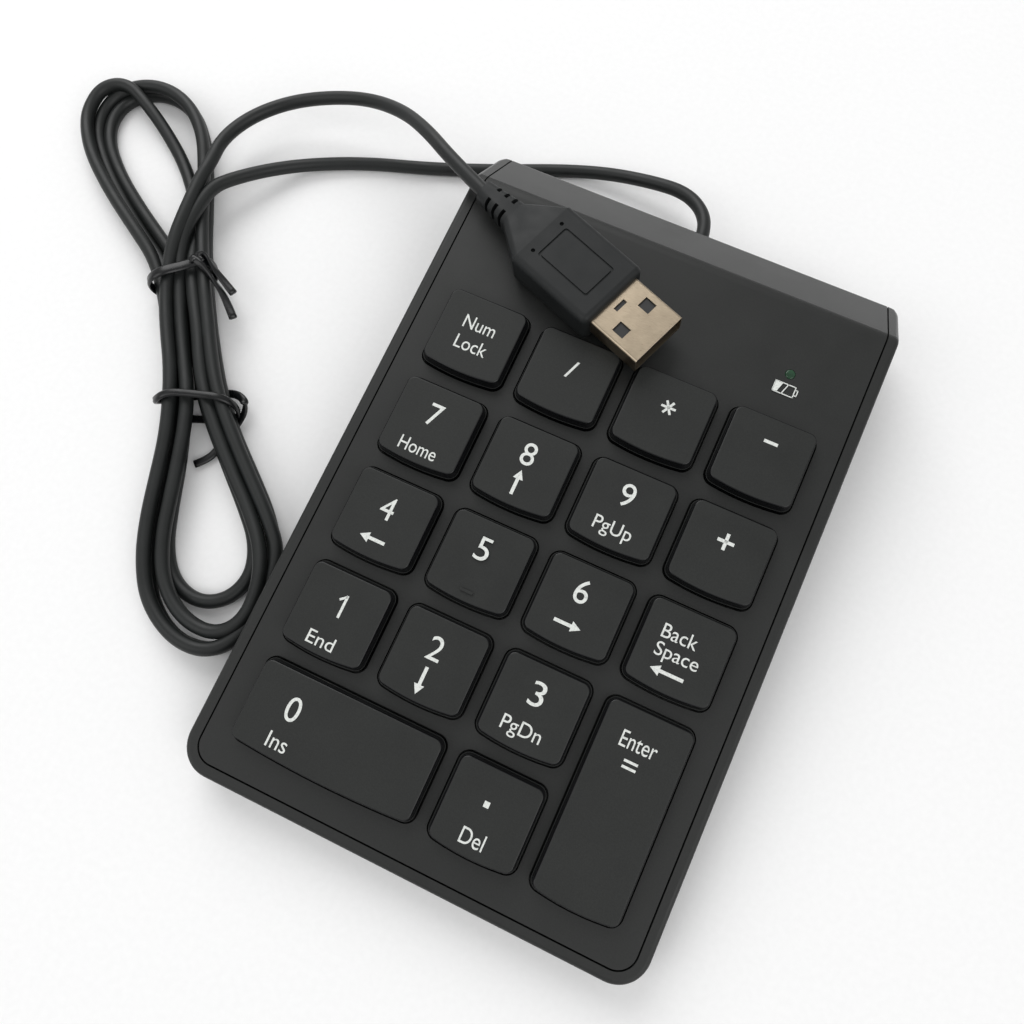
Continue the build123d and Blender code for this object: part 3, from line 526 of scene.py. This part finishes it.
def finished(name, mesh, smooth=True):
    """Turns a bmesh into a scene object."""
    data = bpy.data.meshes.new(name)
    mesh.to_mesh(data)
    mesh.free()
    for face in data.polygons:
        face.use_smooth = smooth
    piece = bpy.data.objects.new(name, data)
    bpy.context.scene.collection.objects.link(piece)
    return piece


def joined(name, pieces):
    """One object from several, in the first one's place."""
    mesh = bmesh.new()
    for piece in pieces:
        mesh.from_mesh(piece.data)
        bpy.data.objects.remove(piece)
    return finished(name, mesh)


# ---------------------------------------------------------------- cord

EXIT_RUN = [
    (1.8, 65.0, 9.0), (1.8, 70.2, 9.0), (-0.4, 75.6, 8.3), (-5.6, 79.3, 7.2), (-13.0, 80.6, 5.0),
    (-23.5, 80.4, 2.6), (-34.0, 77.4, 1.5), (-46.0, 71.8, 1.4), (-60.0, 65.9, 1.4), (-74.5, 61.0, 1.4),
    (-85.4, 55.2, 1.8), (-92.0, 48.8, 3.8), (-96.8, 42.0, 6.0),
]
PLUG_RUN = [
    (-101.4, 43.0, 8.0), (-102.6, 49.8, 7.4), (-100.0, 57.4, 7.2), (-94.2, 63.8, 7.6), (-86.0, 67.6, 9.2),
    (-76.0, 69.0, 12.0), (-66.0, 66.6, 15.8), (-57.4, 61.8, 19.4), (-47.9, 55.1, 22.6),
    (-39.11, 50.97, 22.93),
]
# The folded cord, strand by strand, as (across, along, height) in the hank's directions.
STRAND_IN = [
    (8.6, 31.8, 7.0), (5.0, 27.2, 7.1), (1.6, 21.6, 6.6), (0.0, 15.6, 5.7), (-0.7, 8.0, 5.2),
    (-1.1, 0.0, 4.9), (-1.0, -8.0, 5.0),
]
MIDDLE_LOWER_LOOP = [
    (-0.8, -15.0, 5.6), (-2.0, -22.0, 5.4), (-4.0, -29.0, 5.0), (-6.2, -36.0, 4.5), (-8.4, -43.5, 4.2),
    (-9.0, -51.5, 4.0), (-6.2, -59.2, 4.0), (-0.4, -63.9, 4.0), (5.6, -62.6, 4.8), (9.4, -56.6, 5.6),
    (10.4, -49.0, 5.2), (8.8, -41.0, 4.8), (6.5, -33.0, 4.9), (4.5, -25.0, 5.3), (2.9, -17.0, 5.8),
    (2.3, -9.0, 5.8), (2.6, -1.0, 5.8), (2.3, 7.0, 5.8),
]
OUTER_UPPER_LOOP = [
    (2.3, 15.0, 5.2), (3.1, 23.0, 3.8), (3.6, 32.5, 2.2), (1.9, 43.0, 1.6), (-1.2, 52.0, 2.4),
    (-4.8, 59.6, 3.8), (-8.4, 65.2, 4.8), (-14.2, 65.6, 4.4), (-18.0, 60.8, 3.6), (-18.7, 55.2, 3.6),
    (-17.6, 47.5, 3.8), (-13.9, 37.0, 4.0), (-9.6, 27.5, 4.0), (-6.0, 19.5, 3.4), (-4.8, 12.0, 3.0),
    (-4.3, 4.0, 3.0), (-4.2, -6.0, 3.0),
]
HIDDEN_LOWER_LOOP = [
    (-4.6, -14.5, 3.0), (-5.8, -22.5, 2.4), (-8.4, -30.5, 1.6), (-11.0, -39.0, 1.4), (-12.5, -47.0, 1.4),
    (-12.3, -55.0, 1.4), (-8.4, -62.8, 1.4), (-1.6, -66.5, 1.4), (4.2, -64.2, 1.4), (8.2, -58.6, 1.4),
    (12.2, -50.5, 1.4), (11.8, -42.0, 1.4), (9.4, -33.0, 1.6), (6.8, -23.5, 2.4), (5.2, -14.5, 3.0),
    (4.6, -5.0, 3.0), (4.4, 4.0, 3.0),
]
INNER_UPPER_LOOP = [
    (4.6, 12.5, 3.0), (4.9, 21.0, 2.4), (5.6, 30.0, 1.5), (6.6, 40.0, 1.4), (6.9, 49.0, 1.4),
    (5.0, 58.0, 1.4), (-0.8, 63.6, 1.4), (-7.6, 64.4, 1.4), (-13.0, 60.6, 1.4), (-14.9, 53.3, 1.4),
    (-12.9, 44.2, 1.4), (-9.4, 35.2, 1.4), (-5.2, 26.2, 1.7), (-1.0, 17.5, 2.8), (1.0, 9.0, 3.0),
    (1.4, 0.0, 3.0), (1.3, -8.0, 3.0),
]
INNER_LOWER_LOOP = [
    (1.6, -15.0, 3.0), (3.2, -23.0, 2.3), (5.2, -31.5, 1.6), (7.2, -39.5, 1.4), (8.6, -46.5, 1.4),
    (7.2, -53.2, 1.4), (2.4, -57.0, 1.4), (-3.4, -56.6, 1.4), (-7.8, -51.8, 1.4), (-8.8, -44.5, 1.4),
    (-7.0, -36.0, 1.4), (-4.6, -27.5, 1.8), (-2.8, -19.0, 2.6), (-1.7, -10.5, 3.0), (-1.4, -1.5, 3.0),
    (-1.5, 6.0, 3.0),
]
MIDDLE_UPPER_LOOP = [
    (-2.2, 11.0, 3.0), (-4.6, 18.6, 2.4), (-8.8, 27.5, 1.4), (-12.7, 37.0, 1.4), (-15.9, 47.0, 1.4),
    (-17.3, 56.0, 1.4), (-14.8, 62.8, 1.8), (-8.6, 65.6, 3.2), (-1.0, 63.6, 4.2), (4.6, 57.8, 4.3),
    (7.2, 49.0, 4.2), (6.7, 38.5, 4.2), (5.4, 28.5, 4.4), (4.9, 19.5, 5.2), (4.7, 11.0, 5.8),
    (4.7, 2.0, 5.8), (4.7, -7.0, 5.8),
]
OUTER_LOWER_LOOP = [
    (5.2, -15.5, 5.8), (7.0, -24.0, 5.4), (9.3, -33.0, 4.8), (12.0, -42.5, 4.4), (13.5, -50.5, 4.2),
    (9.9, -57.6, 3.8), (5.0, -64.7, 3.9), (-1.6, -67.0, 4.1), (-8.0, -63.0, 4.1), (-12.1, -55.0, 4.1),
    (-12.4, -46.5, 4.1), (-10.9, -38.5, 4.2), (-8.4, -30.5, 4.5), (-5.9, -23.0, 5.1), (-4.3, -15.5, 5.8),
    (-3.6, -8.0, 5.8), (-3.7, 0.0, 5.8),
]
STRAND_OUT = [
    (-3.4, 7.5, 5.9), (-2.1, 14.5, 6.5), (0.1, 20.8, 7.6), (3.5, 27.4, 8.1), (6.8, 33.8, 8.2),
]
FOLDS = (
    STRAND_IN + MIDDLE_LOWER_LOOP + OUTER_UPPER_LOOP + HIDDEN_LOWER_LOOP + INNER_UPPER_LOOP
    + INNER_LOWER_LOOP + MIDDLE_UPPER_LOOP + OUTER_LOWER_LOOP + STRAND_OUT
)


def add_cord():
    route = [Vector(p) for p in EXIT_RUN] + [hank_point(*p) for p in FOLDS] + [Vector(p) for p in PLUG_RUN]
    curve = bpy.data.curves.new("cord", "CURVE")
    curve.dimensions = "3D"
    curve.bevel_depth = CORD_DIAMETER / 2 * MM
    curve.bevel_resolution = 6
    curve.use_fill_caps = True
    spline = curve.splines.new("NURBS")
    spline.points.add(len(route) - 1)
    for place, point in zip(spline.points, route):
        place.co = (*(point * MM), 1.0)
    spline.order_u = 3
    spline.use_endpoint_u = True
    spline.resolution_u = 10
    cord = bpy.data.objects.new("cord", curve)
    bpy.context.scene.collection.objects.link(cord)
    curve.materials.append(cord_finish())
    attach(cord, "case")
    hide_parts("cord_exit_run", "cord_hank", "cord_plug_run")


# ---------------------------------------------------------------- twist ties

TIE_WIDTH = 1.7
UPPER_TIE_WIDTH = 2.3
TIE_THICKNESS = 1.0
UPPER_LOOP = [
    (4.6, 13.9, 7.9), (6.7, 14.3, 6.4), (7.0, 13.8, 3.6), (5.8, 13.0, 1.1), (0.0, 12.4, 0.9),
    (-5.8, 12.2, 1.0), (-7.0, 12.4, 3.4), (-6.6, 12.4, 6.0), (-4.9, 12.2, 7.9), (-2.4, 12.5, 8.6),
    (0.4, 13.1, 8.0), (2.6, 13.5, 7.9), (4.4, 13.6, 8.1), (5.4, 14.4, 8.3),
]
UPPER_TAILS = [
    [
        (3.2, 13.3, 8.1), (4.8, 14.9, 8.4), (6.0, 15.2, 8.0), (6.9, 13.1, 7.0),
        (8.5, 10.0, 6.2), (10.5, 6.3, 5.6),
    ],
    [
        (3.4, 14.6, 8.3), (4.6, 13.4, 8.6), (6.0, 11.2, 7.2), (7.4, 8.6, 6.2),
        (8.8, 5.4, 5.6), (9.8, 0.8, 5.2),
    ],
]
LOWER_LOOP = [
    (-2.1, -28.0, 0.9), (0.4, -27.5, 0.9), (2.7, -25.9, 0.9), (4.8, -23.4, 0.9), (7.4, -21.0, 1.1),
    (9.4, -19.4, 2.4), (9.9, -17.6, 3.2), (8.8, -15.6, 2.8), (6.2, -13.8, 1.2), (2.0, -13.2, 0.8),
    (-3.0, -13.0, 0.8), (-6.8, -13.0, 1.4), (-7.9, -13.8, 3.6), (-7.2, -15.0, 6.0), (-5.4, -15.0, 7.6),
    (-3.2, -14.9, 8.0), (-0.4, -15.6, 8.0), (2.8, -16.6, 8.0), (5.4, -17.3, 7.8), (7.6, -18.2, 6.6),
    (8.6, -19.2, 4.2), (7.8, -19.9, 1.6), (5.0, -19.6, 0.8), (0.8, -18.6, 0.8), (-3.6, -17.6, 0.8),
]


def tie_wire(points, width, side, twist=0.0):
    """One length of a tie, through points in the hank's directions."""
    line = [hank_point(*point) for point in points]
    return sweep_strip("tie_wire", line, width, TIE_THICKNESS, side, twist)


def add_ties():
    plastic = tie_finish()
    upper = [tie_wire(UPPER_LOOP, UPPER_TIE_WIDTH, HANK_ALONG)]
    for tail in UPPER_TAILS:
        upper.append(tie_wire(tail, TIE_WIDTH, HANK_ALONG + HANK_ACROSS, math.pi))
    lower = [tie_wire(LOWER_LOOP, TIE_WIDTH, HANK_ALONG)]
    ties = (("upper_tie", "twist_tie_upper", upper), ("lower_tie", "twist_tie_lower", lower))
    for name, node, parts in ties:
        tie = joined(name, parts)
        tie.data.materials.append(plastic)
        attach(tie, "case")
        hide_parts(node)


# ---------------------------------------------------------------- legends

INK = 0.03
DIGIT_HEIGHT = 4.2
DIGIT_WIDTH = 2.6
STROKE = 0.45
# Words and digits: key, text, left edge and baseline from the key's middle, width and capital height.
WORDS = [
    ("key_num_lock", "Num", -3.1, 0.9, 6.3, 2.6),
    ("key_num_lock", "Lock", -3.0, -3.3, 6.3, 2.6),
    ("key_divide", "/", -0.7, -0.4, 1.8, 4.0),
    ("key_7", "7", -1.4, 0.0, DIGIT_WIDTH, DIGIT_HEIGHT),
    ("key_7", "Home", -3.9, -6.0, 7.3, 2.5),
    ("key_8", "8", -1.6, 0.3, DIGIT_WIDTH, DIGIT_HEIGHT),
    ("key_9", "9", -1.4, 0.6, DIGIT_WIDTH, DIGIT_HEIGHT),
    ("key_9", "PgUp", -3.8, -5.0, 7.2, 2.5),
    ("key_4", "4", -1.5, -0.2, DIGIT_WIDTH, DIGIT_HEIGHT),
    ("key_5", "5", -1.7, 0.2, DIGIT_WIDTH, DIGIT_HEIGHT),
    ("key_6", "6", -1.8, 0.6, DIGIT_WIDTH, DIGIT_HEIGHT),
    ("key_backspace", "Back", -4.3, 1.3, 6.4, 2.5),
    ("key_backspace", "Space", -4.3, -1.9, 7.9, 2.4),
    ("key_1", "End", -3.1, -6.2, 5.2, 2.4),
    ("key_2", "2", -1.8, 0.0, DIGIT_WIDTH, DIGIT_HEIGHT),
    ("key_3", "3", -1.6, 0.4, DIGIT_WIDTH, DIGIT_HEIGHT),
    ("key_3", "PgDn", -4.1, -5.1, 7.3, 2.5),
    ("key_enter", "Enter", -3.7, 10.2, 6.5, 2.8),
    ("key_0", "0", -10.2, -0.6, DIGIT_WIDTH, DIGIT_HEIGHT),
    ("key_0", "Ins", -10.8, -5.8, 3.8, 2.7),
    ("key_decimal", "Del", -2.6, -5.7, 4.3, 2.7),
]
# Straight strokes: key, start and end from the key's middle, and stroke width.
STROKES = [
    ("key_1", (0.38, -0.3), (0.38, 3.9), 0.48),
    ("key_1", (0.45, 3.7), (-0.75, 2.75), 0.42),
    ("key_subtract", (-1.0, 3.0), (1.6, 3.0), 0.6),
    ("key_add", (-1.8, 2.05), (1.3, 2.05), 0.62),
    ("key_add", (-0.25, 0.5), (-0.25, 3.6), 0.62),
    ("key_enter", (-1.8, 8.35), (0.7, 8.35), STROKE),
    ("key_enter", (-1.8, 7.3), (0.7, 7.3), STROKE),
    ("key_decimal", (-1.1, 1.55), (-0.1, 1.55), 1.05),
]
# Arrows: key, tail and tip from the key's middle.
ARROWS = [
    ("key_8", (-0.25, -5.6), (-0.25, -0.8)),
    ("key_2", (-0.5, -1.3), (-0.5, -6.3)),
    ("key_4", (2.1, -4.2), (-2.8, -4.2)),
    ("key_6", (-3.1, -3.6), (1.9, -3.6)),
    ("key_backspace", (2.2, -4.2), (-3.9, -4.2)),
]
SLASH_RISE = 1.18         # height of a slash, in capitals
ASTERISK_PLACE = (0.15, 1.7)
ASTERISK_REACH = 1.4


def deck_place(across, back):
    """A point on the deck, from the middle of the key grid, in metres."""
    lens = [vertex.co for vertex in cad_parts["led_light_guide"].data.vertices]
    surface = max(point.dot(DECK_UP) for point in lens)
    grid = (key_middle("key_5") - SIDEWAYS * key_middle("key_5").x).dot(DECK_BACK)
    return SIDEWAYS * across * MM + DECK_BACK * (grid + back * MM) + DECK_UP * surface


def key_middle(key):
    """The middle of a key's top face, in metres."""
    points = [vertex.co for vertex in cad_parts[key].data.vertices]
    heights = [point.dot(DECK_UP) for point in points]
    backs = [point.dot(DECK_BACK) for point in points]
    low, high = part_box(key)
    across = (low[0] + high[0]) / 2
    return SIDEWAYS * across + DECK_BACK * (min(backs) + max(backs)) / 2 + DECK_UP * max(heights)


def text_outline(text):
    """The flat mesh of a text in the built-in typeface."""
    curve = bpy.data.curves.new("text", "FONT")
    curve.body = text
    curve.size = 1.0
    curve.resolution_u = 8
    holder = bpy.data.objects.new("text", curve)
    bpy.context.scene.collection.objects.link(holder)
    bpy.context.view_layer.update()
    mesh = bpy.data.meshes.new_from_object(holder.evaluated_get(bpy.context.evaluated_depsgraph_get()))
    bpy.data.objects.remove(holder)
    return mesh


def ink_on(middle, flat):
    """Lifts a flat bmesh, in millimetres from the middle, onto the surface as a thin layer."""
    lifted = bmesh.ops.extrude_face_region(flat, geom=flat.faces[:])
    for item in lifted["geom"]:
        if isinstance(item, bmesh.types.BMVert):
            item.co.z += INK
    for vertex in flat.verts:
        across, back, rise = vertex.co * MM
        vertex.co = middle + SIDEWAYS * across + DECK_BACK * back + DECK_UP * rise
    bmesh.ops.recalc_face_normals(flat, faces=flat.faces)


def word_mesh(text, left, baseline, width, height, capital):
    source = text_outline(text)
    flat = bmesh.new()
    flat.from_mesh(source)
    bpy.data.meshes.remove(source)
    edges = [vertex.co.x for vertex in flat.verts]
    start, span = min(edges), max(edges) - min(edges)
    for vertex in flat.verts:
        vertex.co.x = left + (vertex.co.x - start) / span * width
        vertex.co.y = baseline + vertex.co.y / capital * height
    return flat


def stroke_mesh(start, end, width, cap=0.0):
    flat = bmesh.new()
    start, end = Vector(start), Vector(end)
    ahead = (end - start).normalized() * cap
    start, end = start - ahead, end + ahead
    side = (end - start).normalized().orthogonal() * width / 2
    corners = (start - side, end - side, end + side, start + side)
    flat.faces.new([flat.verts.new((*corner, 0.0)) for corner in corners])
    return flat


def arrow_mesh(tail, tip, shaft=0.62, head_width=1.9, head_length=1.75):
    flat = bmesh.new()
    tail, tip = Vector(tail), Vector(tip)
    ahead = (tip - tail).normalized()
    side = ahead.orthogonal()
    neck = tip - ahead * head_length
    corners = [
        tail + side * shaft / 2, tail - side * shaft / 2, neck - side * shaft / 2,
        neck - side * head_width / 2, tip, neck + side * head_width / 2, neck + side * shaft / 2,
    ]
    flat.faces.new([flat.verts.new((*corner, 0.0)) for corner in corners])
    return flat


def inked(name, flats, middle):
    """One printed mark from several flat shapes."""
    whole = bmesh.new()
    for flat in flats:
        ink_on(middle, flat)
        part = bpy.data.meshes.new("part")
        flat.to_mesh(part)
        flat.free()
        whole.from_mesh(part)
        bpy.data.meshes.remove(part)
    return finished(name, whole, smooth=False)


def add_legends():
    paint = paint_finish()
    letter = text_outline("H")
    capital = max(vertex.co.y for vertex in letter.vertices)
    bpy.data.meshes.remove(letter)
    flats = {}
    for key, text, left, baseline, width, height in WORDS:
        tall = SLASH_RISE * capital if text == "/" else capital
        flats.setdefault(key, []).append(word_mesh(text, left, baseline, width, height, tall))
    for key, start, end, width in STROKES:
        flats.setdefault(key, []).append(stroke_mesh(start, end, width))
    for key, tail, tip in ARROWS:
        flats.setdefault(key, []).append(arrow_mesh(tail, tip))
    for spoke in range(3):
        reach = Vector((math.cos(spoke * math.pi / 3), math.sin(spoke * math.pi / 3))) * ASTERISK_REACH
        place = Vector(ASTERISK_PLACE)
        flats.setdefault("key_multiply", []).append(stroke_mesh(place - reach, place + reach, STROKE))
    for key, parts in flats.items():
        middle = key_middle(key)
        legend = inked(key.replace("key_", "legend_"), parts, middle)
        legend.data.materials.append(paint)
        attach(legend, key)


# The battery symbol: its middle on the deck, its size, its line width and the size of its nub.
ICON_PLACE = (27.52, 52.56)
ICON_SIZE = (3.9, 2.1)
ICON_LINE = 0.2
ICON_NUB = (0.55, 0.55)
# The slanted bar and the slanted edge of the charge, as places across at the foot and at the top.
ICON_BAR = (-0.2, 0.5)
ICON_CHARGE = (-1.15, -0.5)


def add_battery_icon():
    """The white battery symbol printed beside the status lamp."""
    middle = deck_place(*ICON_PLACE)
    wide, tall = ICON_SIZE[0] / 2, ICON_SIZE[1] / 2
    nub, half_nub = wide + ICON_NUB[0], ICON_NUB[1]
    foot, top = ICON_BAR
    lines = [
        ((-wide, tall), (wide, tall)), ((-wide, -tall), (wide, -tall)), ((-wide, -tall), (-wide, tall)),
        ((wide, -tall), (wide, tall)), ((wide, half_nub), (nub, half_nub)),
        ((wide, -half_nub), (nub, -half_nub)), ((nub, -half_nub), (nub, half_nub)),
        ((foot, -tall), (top, tall)),
    ]
    flats = [stroke_mesh(start, end, ICON_LINE, cap=ICON_LINE / 2) for start, end in lines]
    charge = bmesh.new()
    low, high = ICON_CHARGE
    corners = ((-wide, -tall), (low, -tall), (high, tall), (-wide, tall))
    charge.faces.new([charge.verts.new((*corner, 0.0)) for corner in corners])
    flats.append(charge)
    icon = inked("battery_symbol", flats, middle)
    icon.data.materials.append(paint_finish())
    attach(icon, "case")


# ---------------------------------------------------------------- floor

def add_floor(reach=2.5):
    mesh = bmesh.new()
    corners = ((-reach, -reach), (reach, -reach), (reach, reach), (-reach, reach))
    mesh.faces.new([mesh.verts.new((x, y, 0.0)) for x, y in corners])
    floor = finished("floor", mesh, smooth=False)
    floor.data.materials.append(floor_finish())


add_camera()
add_studio()
add_floor()
add_cord()
add_ties()
dress_cad_nodes()
add_legends()
add_battery_icon()
